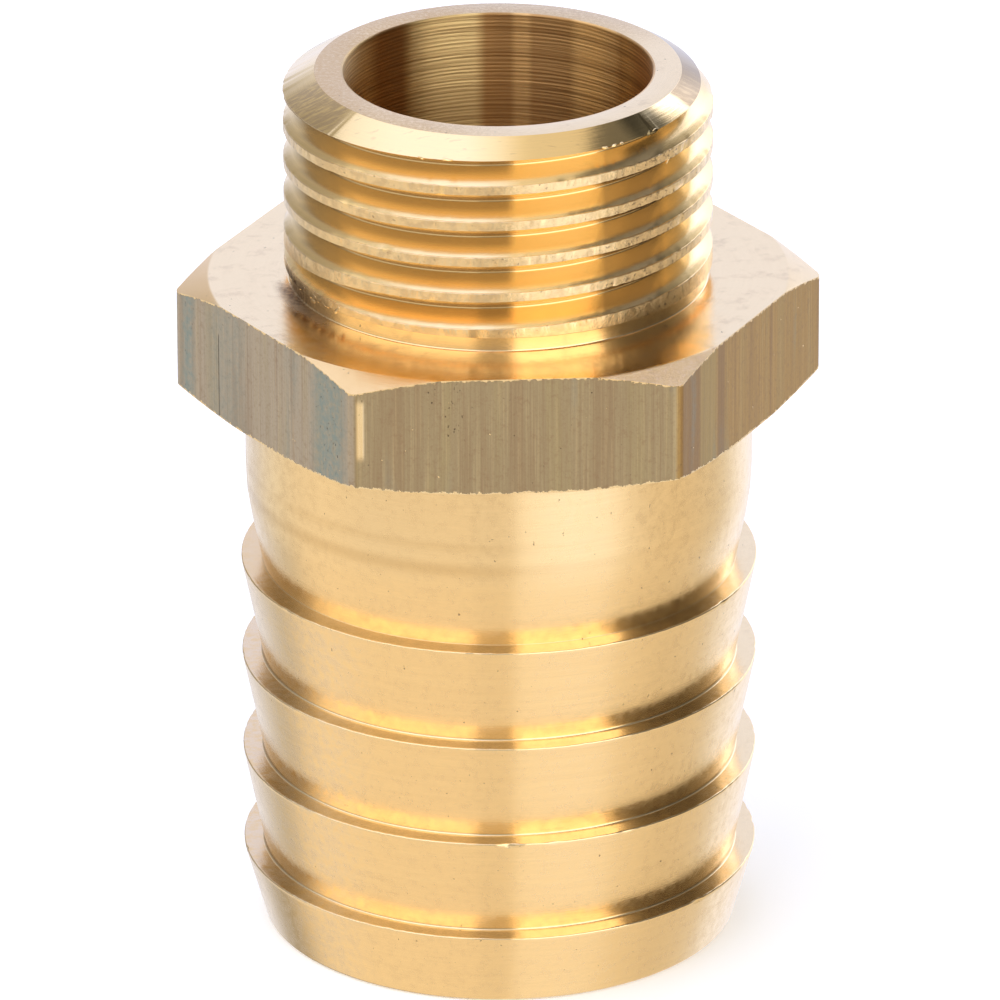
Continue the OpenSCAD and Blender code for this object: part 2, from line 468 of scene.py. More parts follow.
def wear_edges(piece, shape):
    """Nicks the barbs' edges and the thread's crests, most of all at the front right."""
    s = shape.s
    barbs = [s.barb_first + i * s.barb_pitch for i in range(s.barb_count)]
    barb_edge, beside_edge = s.barb_d / 2 - 0.1 * MM, 0.12 * MM
    crest_edge, thread_top = shape.thread_r - 0.045 * MM, s.rim_z - 0.2 * MM
    worst_side, worst_spread = 45, 28
    for vertex in piece.data.vertices:
        co = vertex.co
        r = math.hypot(co.x, co.y)
        if co.z < shape.hex_bottom:
            gap = min(abs(co.z - z) for z in barbs)
            if r < barb_edge or gap > beside_edge:
                continue
            fine, deep, rise = 0.012, 0.22, 0.018
        else:
            if r < crest_edge or not shape.neck_top < co.z < thread_top:
                continue
            side = math.degrees(math.atan2(co.x, -co.y))
            worst = max(0.0, 1 - abs(side - worst_side) / worst_spread)
            fine, deep, rise = 0.012 + 0.025 * worst, 0.12 + 0.1 * worst, 0.014 + 0.03 * worst
        place = co * GRAIN
        jag = noise.noise(place * 3.1)
        nick = max(0.0, noise.noise(place * 1.3 + Vector((7, 3, 5))) - 0.36)
        inward = (abs(jag) * fine + nick * deep) * MM
        co.x *= 1 - inward / r
        co.y *= 1 - inward / r
        co.z += jag * rise * MM


# The finishes' slots, in the order in which the piece gets them
TURNED, THREADED, FACED, DRAWN, BORED = range(5)


def sort_faces(piece, shape):
    """Gives each face the finish of the tool that made it."""
    s = shape.s
    bottom, top = shape.hex_bottom - SLACK, s.hex_top + SLACK
    bore_reach, flat_reach = shape.bore_r + 0.15 * MM, s.hex_af / 2 - 0.3 * MM
    for face in piece.data.polygons:
        z, lean = face.center.z, abs(face.normal.z)
        r = math.hypot(face.center.x, face.center.y)
        if r < bore_reach:
            slot = BORED
        elif bottom < z < top and r > flat_reach and lean < 0.2:
            slot = DRAWN
        elif lean > 0.9 and z > bottom:
            slot = FACED
        elif s.hex_top - SLACK < z < shape.neck_top - 0.05 * MM:
            slot = FACED
        elif shape.neck_top - SLACK < z < s.rim_z - 0.02 * MM:
            slot = THREADED
        else:
            slot = TURNED
        face.material_index = slot


def feed(tree, socket, value):
    """Links an input to another node's output, or sets it to a plain value."""
    if isinstance(value, bpy.types.NodeSocket):
        tree.links.new(value, socket)
    else:
        socket.default_value = value


def add_node(tree, kind, links=(), **settings):
    """Adds a node with its settings, and feeds its inputs, given as {input: value}."""
    node = tree.nodes.new(kind)
    for key, value in settings.items():
        setattr(node, key, value)
    for key, value in dict(links).items():
        feed(tree, node.inputs[key], value)
    return node


def math_node(tree, operation, a, b=0.0, c=0.0):
    return add_node(tree, "ShaderNodeMath", {0: a, 1: b, 2: c}, operation=operation).outputs[0]


class Surface:
    """A material's tree, with the places on the part that its patterns need."""

    def __init__(self, name):
        self.material = bpy.data.materials.new(name)
        self.material.use_nodes = True
        self.tree = self.material.node_tree
        self.tree.nodes.clear()
        self.shader = self.add("ShaderNodeBsdfPrincipled", {"Metallic": 1.0})
        self.add("ShaderNodeOutputMaterial", {"Surface": self.shader.outputs[0]})
        place = self.add("ShaderNodeTexCoord").outputs["Object"]
        grown = self.add("ShaderNodeVectorMath", {0: place, "Scale": GRAIN}, operation="SCALE")
        self.place = grown.outputs[0]
        parts = self.add("ShaderNodeSeparateXYZ", {0: self.place})
        self.x, self.y, self.z = parts.outputs
        self.radius = self.vectors("LENGTH", self.vector(self.x, self.y, 0.0), result="Value")
        # a place's direction, in degrees from the camera's side towards the right
        angle = self.math("ARCTAN2", self.x, self.both(self.y, -1.0))
        self.side = self.both(angle, math.degrees(1))

    def add(self, kind, links=(), **settings):
        return add_node(self.tree, kind, links, **settings)

    def math(self, operation, a, b=0.0, c=0.0):
        return math_node(self.tree, operation, a, b, c)

    def vectors(self, operation, a, b=(0, 0, 0), result="Vector"):
        node = self.add("ShaderNodeVectorMath", {0: a, 1: b}, operation=operation)
        return node.outputs[result]

    def blend(self, share, a, b):
        """Mixes two colours, each a socket or three values."""
        a, b = (c if isinstance(c, bpy.types.NodeSocket) else (*c, 1) for c in (a, b))
        return self.add("ShaderNodeMix", {0: share, 6: a, 7: b}, data_type="RGBA").outputs[2]

    def coat(self, paint, *shares):
        """Lays paint over the colour so far, as thick as the product of the shares."""
        self.base = self.blend(self.both(*shares), self.base, paint)

    def fade(self, value, low, high, start=0.0, end=1.0):
        """Leads softly from start, where the value is low, to end, where it is high."""
        node = self.add("ShaderNodeMapRange",
                        {"Value": value, "From Min": low, "From Max": high,
                         "To Min": start, "To Max": end}, interpolation_type="SMOOTHSTEP")
        return node.outputs[0]

    def noise(self, vector, scale, detail=3.0, rough=0.55):
        node = self.add("ShaderNodeTexNoise", {"Vector": vector, "Scale": scale,
                                               "Detail": detail, "Roughness": rough})
        return node.outputs[0]

    def vector(self, x, y, z):
        return self.add("ShaderNodeCombineXYZ", {"X": x, "Y": y, "Z": z}).outputs[0]

    def scaled(self, across, along):
        """The place, scaled across the axis and along it, so that a pattern is drawn out."""
        return self.vectors("MULTIPLY", self.place, (across, across, along))

    def rings(self, fine, along=0.5):
        """Tool marks round the axis, fine of them to a millimetre, broken up along their length."""
        across = self.shift(self.z, self.radius, 1.7)
        place = self.vector(self.both(across, fine), self.both(self.x, along),
                            self.both(self.y, along))
        return self.noise(place, 1.0, 4.0, 0.6)

    def shift(self, value, share, amount):
        """The value, moved by that amount of the share."""
        return self.math("MULTIPLY_ADD", share, amount, value)

    def strip(self, value, centre, half, soft):
        """One within half of the centre, and nothing further off."""
        off = self.math("ABSOLUTE", self.math("SUBTRACT", value, centre))
        return self.fade(off, half - soft, half + soft, 1.0, 0.0)

    def reach(self, direction):
        """How far a place lies along a direction."""
        return self.vectors("DOT_PRODUCT", self.place, direction, "Value")

    def flat(self, turned):
        """One on the flat that faces that far round from the camera's side."""
        return self.fade(self.reach((math.sin(turned), -math.cos(turned), 0)), 13.25, 13.4)

    def sideways(self, turned):
        """How far a place lies to the right of the middle of that flat."""
        return self.reach((math.cos(turned), math.sin(turned), 0))

    def drop(self, level_r, slope):
        """How far a corner chamfer lies off its face's plane at a place, in millimetres."""
        past = self.math("MAXIMUM", self.math("SUBTRACT", self.radius, level_r / MM), 0.0)
        return self.both(math.tan(slope), past)

    def upward(self):
        """How far a face looks up, from -1 to 1."""
        normal = self.add("ShaderNodeNewGeometry").outputs["True Normal"]
        return self.add("ShaderNodeSeparateXYZ", {0: normal}).outputs["Z"]

    def torn(self):
        """The torn patch where the thread's end meets the hexagon, with a painted shadow and
        reflection of it on the hexagon's top.
        """
        ragged = self.noise(self.place, 2.4, 4.0, 0.65)
        rise = self.shift(self.z, ragged, 0.5)
        spread = self.shift(self.side, ragged, 8.0)
        return self.both(self.strip(spread, -62.0, 15.5, 4.0),
                         self.fade(rise, 34.5, 34.95, 1.0, 0.0),
                         self.fade(self.side, -61.0, -69.0, 0.6, 1.0),
                         self.fade(self.radius, 10.4, 11.1, 1.0, 0.0))

    def both(self, whole, *values):
        """The product of all the values."""
        for value in values:
            whole = self.math("MULTIPLY", whole, value)
        return whole

    def either(self, most, *values):
        """The largest of the values."""
        for value in values:
            most = self.math("MAXIMUM", most, value)
        return most

    def lathe_sheen(self, amount):
        """Tool marks round the axis spread reflections along the outline."""
        around = self.vectors("CROSS_PRODUCT", (0, 0, 1), self.place)
        normal = self.add("ShaderNodeNewGeometry").outputs["Normal"]
        along = self.vectors("NORMALIZE", self.vectors("CROSS_PRODUCT", around, normal))
        feed(self.tree, self.shader.inputs["Tangent"], along)
        feed(self.tree, self.shader.inputs["Anisotropic"], amount)

    def finished(self, rough, height, depth):
        """Gives the shader its colour, its roughness and its relief, and returns the material."""
        relief = self.add("ShaderNodeBump", {"Height": height, "Distance": depth, "Strength": 1.0})
        for key, value in (("Base Color", self.base), ("Roughness", rough),
                           ("Normal", relief.outputs[0])):
            feed(self.tree, self.shader.inputs[key], value)
        return self.material


def turned_brass(finish, shape):
    """Brass turned with a fine feed: satin and mottled, with faint rings and a few nicks,
    smoother above each ledge. At the left, a mottled greyish tint and yellower ledges are painted
    reflections."""
    m = Surface("turned brass")
    rings = m.rings(9.0)
    lathe = m.noise(m.scaled(0.0, 2.2), 1.0, 5.0, 0.7)
    mottle = m.noise(m.place, 2.2, 5.0, 0.65)
    tone = m.math("ADD", m.fade(rings, 0.3, 0.75, 0.0, 0.15), m.fade(lathe, 0.35, 0.75, 0.0, 0.22))
    tone = m.math("ADD", tone, m.fade(mottle, 0.45, 0.75, 0.0, 0.2))
    m.base = m.blend(tone, finish.brass, finish.deep)
    nick = m.fade(m.noise(m.place, 3.4, 2.0), 0.735, 0.76)
    m.coat(finish.pit, nick, 0.6)
    rough = m.fade(mottle, 0.3, 0.7, finish.turned_roughness - 0.05, finish.turned_roughness + 0.05)

    s = shape.s
    above = m.math("SUBTRACT", m.z, s.barb_first / MM)
    above = m.math("FLOORED_MODULO", m.math("ADD", above, 0.1), s.barb_pitch / MM)
    foot = m.both(m.fade(above, 1.5, 0.8), m.fade(m.z, 21.0, 20.5))
    rough = m.shift(rough, foot, -0.07)
    # Painted reflection: upward faces at the far left get a darker, yellower tint.
    ledge_reflection = m.both(m.fade(m.upward(), 0.5, 0.9), m.fade(m.x, -9.5, -11.0, 0.0, 0.9))
    m.coat(finish.golden_reflection, ledge_reflection)
    # Painted reflection: a mottled greyish tint low on the left side stands in for the cool light
    # reflected there.
    worn = m.both(m.fade(m.x, -5.5, -8.5), m.fade(mottle, 0.3, 0.6), m.fade(m.z, 19.5, 18.0))
    m.coat(finish.left_cool_reflection, worn, 0.35)
    ring = m.either(m.strip(m.z, 22.9, 0.3, 0.28), m.both(m.strip(m.z, 24.1, 0.2, 0.19), 0.5))
    ring = m.both(ring, m.fade(m.x, 4.0, -3.0, 0.06, 0.4))
    m.coat(finish.ring, ring)
    m.lathe_sheen(0.9)
    height = m.shift(m.shift(rings, lathe, 1.5), nick, -1.2)
    return m.finished(rough, height, 0.004 * MM)


def threaded_brass(finish, shape):
    """Brass cut by a die: bright flanks, painted shade low in the groove and in bands at the sides,
    crests torn into small pits, and a dulled and smeared chamfer. The patch at the thread's end is
    scorched."""
    m = Surface("threaded brass")
    s = shape.s
    rings = m.rings(11.0)
    tone = m.fade(rings, 0.3, 0.75, 0.0, 0.15)
    crest = m.fade(m.radius, (shape.thread_r - 0.05 * MM) / MM, (shape.thread_r - 0.02 * MM) / MM)
    m.base = m.blend(crest, finish.groove, finish.brass)
    m.coat(finish.deep, tone)
    rim = s.rim_z / MM
    # Painted shade: the darker colour goes low in the groove at the left and middle, and in bands
    # at the front's right and far left, standing in for shade and darker reflections there.
    deep = m.both(m.fade(m.x, 0.3, 0.9, 1.0, 0.0), m.fade(m.radius, 9.5, 9.95, 0.8, 0.0))
    right = m.math("ADD", m.fade(m.x, 4.85, 5.1, 0.0, 0.7), m.fade(m.x, 5.6, 6.6, 0.0, 0.25))
    right = m.math("SUBTRACT", right, m.fade(m.x, 7.6, 8.0, 0.0, 0.95))
    left = m.both(m.fade(m.x, -7.0, -7.7, 0.0, 0.9), m.fade(m.radius, 10.1, 9.9))
    sides = m.both(m.either(right, left), m.fade(m.y, -2.5, -4.0))
    groove = m.math("SUBTRACT", 1.0, crest)
    m.coat(finish.darkened_tone, m.either(deep, sides), groove, m.fade(m.z, rim - 1.0, rim - 1.2))

    gouged = m.noise(m.place, 4.0, 4.0, 0.7)
    worst = m.strip(m.side, 45, 18, 12)
    pits = m.both(crest, m.fade(m.shift(gouged, worst, 0.06), 0.6, 0.72))
    m.coat(finish.pit, pits, 0.7)
    chamfer = m.fade(m.z, rim - 0.95, rim - 0.85)
    ends = m.either(m.strip(m.side, -66, 14, 3), m.strip(m.side, 82, 14, 2))
    smear = m.both(chamfer, m.strip(m.side, 48.0, 7.5, 3.5))
    scratched = m.noise(m.vector(m.both(m.x, 0.7), m.both(m.y, 3.0), m.z), 1.6, 4.0)
    dulled = m.both(chamfer, m.either(m.both(ends, m.fade(scratched, 0.3, 0.6)),
                                      m.fade(scratched, 0.62, 0.68, 0.0, 0.35)))
    m.coat(finish.faced_dull, dulled, 0.75)
    m.coat(finish.smear, smear, 0.85)
    far = m.both(chamfer, m.fade(m.side, 67.0, 70.0))
    m.coat(finish.grey, far, 0.8)
    patchy = m.both(crest, m.fade(m.noise(m.place, 1.7, 3.0), 0.4, 0.62, 0.08, 0.42))
    m.coat(finish.faced_dull, patchy)
    torn = m.torn()
    m.coat(finish.scorch_and_shadow, torn, m.fade(gouged, 0.35, 0.65, 0.95, 0.5))

    rough = m.shift(finish.thread_roughness, crest, 0.1)
    rough = m.shift(rough, chamfer, -0.06)
    rough = m.shift(m.shift(rough, torn, 0.25), dulled, 0.1)
    m.lathe_sheen(0.95)
    height = m.shift(rings, m.both(crest, gouged), m.shift(3.0, worst, 3.5))
    height = m.shift(height, m.both(torn, gouged), 1.6)
    return m.finished(rough, height, 0.004 * MM)


def faced_brass(finish, shape):
    """Brass faced across: concentric feed marks under dulled and warmer patches. Two corner
    slopes have a painted yellower reflection, one is grainy under a painted pale glint, and the
    patch at the thread's end is scorched, with a painted shadow and reflection of it on the
    hexagon's top."""
    m = Surface("faced brass")
    rings = m.rings(7.0, 0.25)
    cloud = m.noise(m.place, 0.9, 4.0, 0.6)
    tone = m.math("ADD", m.fade(rings, 0.3, 0.75, 0.0, 0.15), m.fade(cloud, 0.45, 0.8, 0.0, 0.25))
    m.base = m.blend(tone, finish.brass, finish.deep)
    speck = m.noise(m.place, 5.0, 4.0, 0.7)
    rim = m.fade(m.z, 43.0, 43.5)
    worn = m.either(m.fade(m.y, 2.0, 8.0), m.fade(m.x, -5.0, -7.5), 0.15)
    tips = m.both(m.fade(m.radius, 13.9, 14.2), m.fade(m.x, -9.0, -11.0, 0.0, 0.8))
    dull = m.either(m.both(rim, worn), tips, m.fade(cloud, 0.52, 0.72, 0.0, 0.4))
    dull = m.both(dull, m.fade(speck, 0.25, 0.7, 0.35, 0.85))
    m.coat(finish.faced_dull, dull)
    warm = m.either(m.fade(m.x, 2.0, -4.0), m.fade(m.y, 2.0, 6.0, 0.0, 0.5))
    m.coat(finish.rim_dull, rim, warm, m.fade(speck, 0.3, 0.6, 0.3, 0.8))
    # Painted reflection: two corner slopes get a yellower tint.
    slope = m.both(m.fade(m.radius, 13.9, 14.05), m.either(m.strip(m.side, -28, 15, 3),
                                                          m.strip(m.side, -88, 14, 3)))
    m.coat(finish.golden_reflection, slope)
    grainy = m.both(m.fade(m.radius, 13.95, 14.15), m.strip(m.side, 33, 18, 2))
    # The torn patch is real on the neck. On the hexagon's top beside it, this paints the patch's
    # shadow and reflection.
    torn = m.torn()
    m.coat(finish.scorch_and_shadow, torn, m.fade(speck, 0.3, 0.7, 0.85, 0.5))
    pits = m.fade(m.noise(m.place, 2.7, 2.0), 0.73, 0.75)
    m.coat(finish.pit, pits, 0.6)
    rough = m.fade(cloud, 0.3, 0.7, finish.faced_roughness - 0.03, finish.faced_roughness + 0.05)
    # Painted highlight: a pale glint over the grainy corner slope.
    m.coat(finish.glint, grainy, m.fade(speck, 0.45, 0.7, 0.2, 0.8))
    rough = m.shift(m.shift(rough, grainy, 0.34), torn, 0.3)
    m.lathe_sheen(0.6)
    height = m.shift(rings, cloud, 1.0)
    height = m.shift(height, m.both(grainy, speck), 16.0)
    height = m.shift(height, m.both(torn, speck), 2.0)
    return m.finished(rough, height, 0.004 * MM)


def drawn_brass(finish, shape):
    """Brass bar as drawn: a dull brown skin lined along the bar, stained and pitted, with
    bright burrs where the facing tool broke through it. Each side flat's skin is tinted for the
    light that it reflects, and the right flat has painted bands of shade and reflected light."""
    m = Surface("drawn brass bar")
    s = shape.s
    fine = m.noise(m.scaled(9.0, 0.12), 1.0, 3.0, 0.6)
    band = m.noise(m.scaled(1.1, 0.05), 1.0, 3.0, 0.55)
    grain = m.noise(m.place, 3.0, 5.0, 0.7)
    to_left, to_right = s.hex_turn - math.radians(60), s.hex_turn + math.radians(60)
    left, front, right = m.flat(to_left), m.flat(s.hex_turn), m.flat(to_right)
    # Painted light: each side flat's skin is tinted for the light that it reflects.
    m.base = m.blend(left, finish.skin, finish.skin_left_painted_light)
    m.coat(finish.skin_right_painted_light, right)
    m.coat(finish.skin_pale_and_sheen, m.fade(band, 0.5, 0.64, 0.0, 0.25))
    m.coat(finish.skin_dark_and_shade, m.fade(band, 0.47, 0.36, 0.0, 0.28))
    m.coat(finish.skin_dark_and_shade, m.fade(fine, 0.5, 0.7, 0.0, 0.28))
    m.coat(finish.brass, m.fade(fine, 0.5, 0.3, 0.0, 0.13))
    m.coat(finish.skin_dark_and_shade, m.fade(grain, 0.52, 0.7, 0.0, 0.35))
    mealy = m.noise(m.place, 8.0, 2.0, 0.6)
    m.coat(finish.skin_dark_and_shade, m.fade(mealy, 0.5, 0.7, 0.0, 0.2))
    run = m.sideways(to_right)
    # Painted shade and reflection: two dark bands on the right flat, with a pale band of reflected
    # light between them.
    shade = m.both(right, m.either(m.strip(run, -6.65, 1.0, 0.2), m.strip(run, -3.35, 0.4, 0.15)))
    m.coat(finish.skin_dark_and_shade, shade, 0.55)
    pale_reflection_band = m.both(right, m.strip(run, -4.75, 0.85, 0.2))
    m.coat(finish.skin_pale_and_sheen, pale_reflection_band, 0.45)
    run = m.sideways(to_left)
    wave = m.shift(m.math("ADD", run, -0.45), m.noise(m.place, 0.8, 3.0), 0.9)
    near = m.strip(wave, 5.9, 1.3, 0.7)
    far = m.strip(wave, -6.6, 0.5, 0.4)
    speckled = m.strip(wave, -3.2, 1.6, 0.8)
    stain = m.both(left, m.either(near, far, m.both(speckled, 0.45)))
    elsewhere = m.fade(m.noise(m.scaled(1.0, 0.15), 0.45, 2.0), 0.6, 0.7)
    stain = m.either(stain, m.both(elsewhere, 0.4))
    m.coat(finish.patina, stain, m.fade(grain, 0.3, 0.65, 0.25, 0.9))

    along = m.sideways(s.hex_turn)
    cluster = m.both(front, m.strip(along, -3.2, 1.1, 0.8), m.fade(m.z, 29.5, 31.0))
    pitted = m.either(m.both(stain, 0.9), cluster, 0.28)
    spots = m.noise(m.scaled(1.0, 0.7), 6.5, 3.0, 0.55)
    pits = m.fade(m.shift(spots, pitted, 0.12), 0.74, 0.84)
    hairline = m.both(left, m.strip(run, -3.85, 0.035, 0.02),
                      m.fade(m.math("ADD", m.z, m.both(run, 0.02)), 31.9, 31.6))
    dark = m.either(pits, hairline)
    m.coat(finish.pit, dark, 0.75)

    rub = m.both(front, m.strip(along, -7.35, 0.17, 0.08), m.strip(m.z, 30.9, 1.45, 0.25))
    top = m.math("SUBTRACT", s.hex_top / MM, m.drop(shape.top_r, s.hex_top_slope))
    low = m.math("ADD", shape.hex_bottom / MM, m.drop(shape.bottom_r, s.hex_bottom_slope))
    border = m.math("MINIMUM", m.math("SUBTRACT", top, m.z), m.math("SUBTRACT", m.z, low))
    ragged = m.noise(m.scaled(1.0, 0.7), 3.6, 4.0, 0.7)
    burr = m.fade(m.shift(border, ragged, -0.55), -0.24, -0.19, 1.0, 0.0)
    chips = m.fade(m.noise(m.place, 2.6, 2.0), 0.755, 0.77)
    bright = m.either(rub, burr, chips)
    m.coat(finish.brass, bright, 0.9)
    rough = m.shift(finish.skin_roughness, bright, -0.2)
    height = m.shift(m.both(grain, 0.8), fine, 0.8)
    height = m.shift(m.shift(height, bright, 1.5), dark, -2.5)
    return m.finished(rough, height, 0.012 * MM)


def bored_brass(finish, shape):
    """Brass bored out: uneven feed rings, yellow streaks of painted reflection down a dark wall,
    and painted shade deeper down.
    """
    m = Surface("bored brass")
    lines = m.noise(m.scaled(0.05, 4.6), 1.0, 4.0, 0.7)
    wander = m.noise(m.scaled(0.12, 1.0), 1.5, 2.0)
    phase = m.shift(m.both(m.z, math.tau * 5.2), wander, 9.0)
    wave = m.shift(0.5, m.math("SINE", phase), 0.5)
    # Painted reflection: bright streaks placed by side down the bore, redder at the right.
    gold_reflection = m.either(m.strip(m.x, -2.6, 1.75, 0.35), m.strip(m.x, 1.15, 0.4, 0.2),
                    m.strip(m.x, 4.75, 1.1, 0.3),
                    m.fade(m.math("ABSOLUTE", m.x), 5.6, 6.4, 0.0, 0.8))
    m.base = m.blend(gold_reflection, finish.bore_dark, finish.bore_reflection)
    m.coat(m.blend(gold_reflection, finish.bore_dark, finish.streak), m.fade(m.x, 0.4, 0.8, 0.0, 0.8))
    # Painted shade: the bore darkens further down from the rim.
    m.coat(finish.bore_lines_and_shade, m.fade(m.shift(m.z, lines, 3.0), 42.2, 40.4, 0.0, 0.35))
    m.coat(finish.bore_lines_and_shade, m.fade(wave, 0.2, 0.9, 0.2, 0.0))
    m.coat(finish.bore_lines_and_shade, m.fade(lines, 0.5, 0.62, 0.0, 0.4))
    m.lathe_sheen(1.0)
    height = m.shift(m.both(lines, 1.5), wave, 0.22)
    return m.finished(finish.bore_roughness, height, 0.04 * MM)


class NIPPLE_OT_make_nipple(bpy.types.Operator):
    """Model the threaded hose nipple and give it its finishes"""
    bl_idname = "nipple.make_nipple"
    bl_label = "Make the nipple"

    def execute(self, context):
        shape = NippleShape(context.scene.nipple_sizes)
        finish = context.scene.nipple_finish
        piece = turned("Nipple", shape.body_corners())
        combine(piece, make_hexagon(shape), "UNION")
        combine(piece, make_groove(shape), "DIFFERENCE")
        combine(piece, make_burrs(piece, shape), "UNION")
        wear_edges(piece, shape)
        piece.name = piece.data.name = "Brass_nipple"
        take(piece)
        piece.data.materials.clear()
        for make in (turned_brass, threaded_brass, faced_brass, drawn_brass, bored_brass):
            piece.data.materials.append(make(finish, shape))
        sort_faces(piece, shape)
        bpy.ops.object.shade_smooth_by_angle(angle=SMOOTH_UNDER)
        modify(piece, "WEIGHTED_NORMAL", mode="FACE_AREA", weight=100, keep_sharp=True)
        if len(piece.data.polygons) < FEWEST_FACES:
            raise RuntimeError("the nipple's cuts didn't come out")
        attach(piece, "root")
        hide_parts("hose_nipple")
        return {"FINISHED"}


# Light that reaches the part from each side, as (direction, level, coolness).
# Directions are degrees from the camera's side towards the right, seen from the part.
NEAR_LIGHT = [
    (-180, 1.0, 0.8), (-160, 0.95, 0.8), (-152, 0.5, 0), (-144, 0.27, -1), (-132, 0.3, -1),
    (-124, 0.62, -1), (-113, 1.02, -1), (-100, 1.05, -1), (-86, 1.03, -1), (-14, 1.0, -1),
    (-11, 0.94, -1), (7, 0.94, -1), (9, 1.08, -0.7), (57, 1.08, -0.7), (61, 0.96, -1),
    (75, 0.93, -1), (91, 0.8, -1), (116, 0.82, -0.8), (127, 0.82, 0), (132, 1.2, 1.2),
    (145, 1.25, 1.3), (160, 1.05, 1.0), (180, 1.0, 0.8),
]
FAR_LIGHT = [
    (-180, 1.0, 0.8), (-160, 1.0, 0.8), (-148, 0.84, 1), (-125, 0.94, 0), (-104, 0.96, -0.5),
    (-84, 1.0, -0.6), (-61, 0.93, -0.5), (-14, 0.96, -0.7), (-11, 0.95, -0.6), (6, 0.95, -0.6),
    (9, 1.04, -0.2), (20, 1.14, 0.3), (33, 1.22, 0.6), (50, 1.16, 0.4), (57, 1.05, -0.1),
    (61, 1.03, -0.4), (73, 0.95, -0.8), (88, 0.91, -1), (105, 0.85, -0.8), (122, 0.82, -0.4),
    (130, 0.97, 0.3), (138, 1.1, 0.8), (151, 1.22, 1.1), (165, 1.1, 1.0), (180, 1.0, 0.8),
]
WALL_LIGHT = [
    (-180, 1.1, 2.2), (-166, 1.1, 2.1), (-154, 0.45, 0.5), (-142, 0.36, 0), (-128, 0.25, 0),
    (-108, 0.27, 0), (-100, 0.33, 0), (-94, 0.56, 0), (-60, 0.64, 0), (-14, 0.66, 0),
    (-11, 0.46, 0), (7, 0.46, 0), (8.8, 1.9, 0), (57, 2.0, 0), (60, 0.5, 0), (67, 0.2, 0),
    (74, 0.1, 0), (104, 0.1, 0), (114, 0.22, 0), (127, 0.42, 0), (130, 1.6, 0.8),
    (138, 1.6, 0.8), (141, 1.2, 0.8), (146, 1.5, 1.6), (157, 1.5, 1.6), (162, 1.15, 2),
    (180, 1.1, 2.2),
]
HIGH_LIGHT = [
    (-180, 1.1, 2.4), (-174, 1.05, 2.2), (-156, 0.8, 0.5), (-140, 0.45, 0), (-118, 0.45, 0),
    (-110, 1.0, 0), (-104, 1.45, 0), (-90, 1.75, 0), (-60, 1.95, 0), (-14, 1.9, 0),
    (-11.5, 0.72, 0), (7, 0.72, 0), (8.8, 2.1, 0), (57, 2.1, 0), (61, 0.5, 0), (68, 0.25, 0),
    (78, 0.12, 0), (108, 0.11, 0), (124, 0.24, 0), (144.5, 0.4, 0), (147, 3.0, 2.0),
    (157, 3.0, 2.0), (160, 0.9, 1), (172, 1.0, 2.0), (180, 1.1, 2.4),
]
# The ceiling's panels, as (tangent of the angle to the right of straight up, level, coolness)
CEILING_LIGHT = [
    (-1.5, 0.9, 1), (-0.76, 0.58, 0.5), (-0.7, 0.58, 0.5), (-0.68, 1.2, 1.5), (-0.4, 1.45, 2.4),
    (-0.12, 1.45, 2.4), (0.0, 1.2, 1.2), (0.09, 0.92, -0.3), (0.13, 0.84, -0.3),
    (0.345, 0.84, -0.5), (0.375, 0.17, 0), (0.58, 0.16, 0), (0.62, 0.34, 0), (0.84, 0.38, 0.3),
    (0.88, 1.05, 1), (1.5, 1.05, 1),
]
HALF_TURN = 180         # degrees that the directions reach to each side
CEILING_REACH = 1.5     # tangent that the ceiling's panels reach to each side


def light_colour(level, cool):
    """Cool light gains blue and loses red. Warm light, below nothing, loses green and blue."""
    if cool < 0:
        return (level, level * (1 + 0.12 * cool), level * (1 + 0.3 * cool), 1)
    return (level * (1 - 0.06 * cool), level * (1 - 0.01 * cool), level * (1 + 0.17 * cool), 1)


def light_band(tree, place, stops, reach):
    """A ramp over directions from -reach to +reach."""
    ramp = add_node(tree, "ShaderNodeValToRGB", {0: place})
    band = ramp.color_ramp
    while len(band.elements) < len(stops):
        band.elements.new(0.5)
    for element, (direction, level, cool) in zip(band.elements, stops):
        element.position = (direction / reach + 1) / 2
        element.color = light_colour(level, cool)
    return ramp.outputs[0]


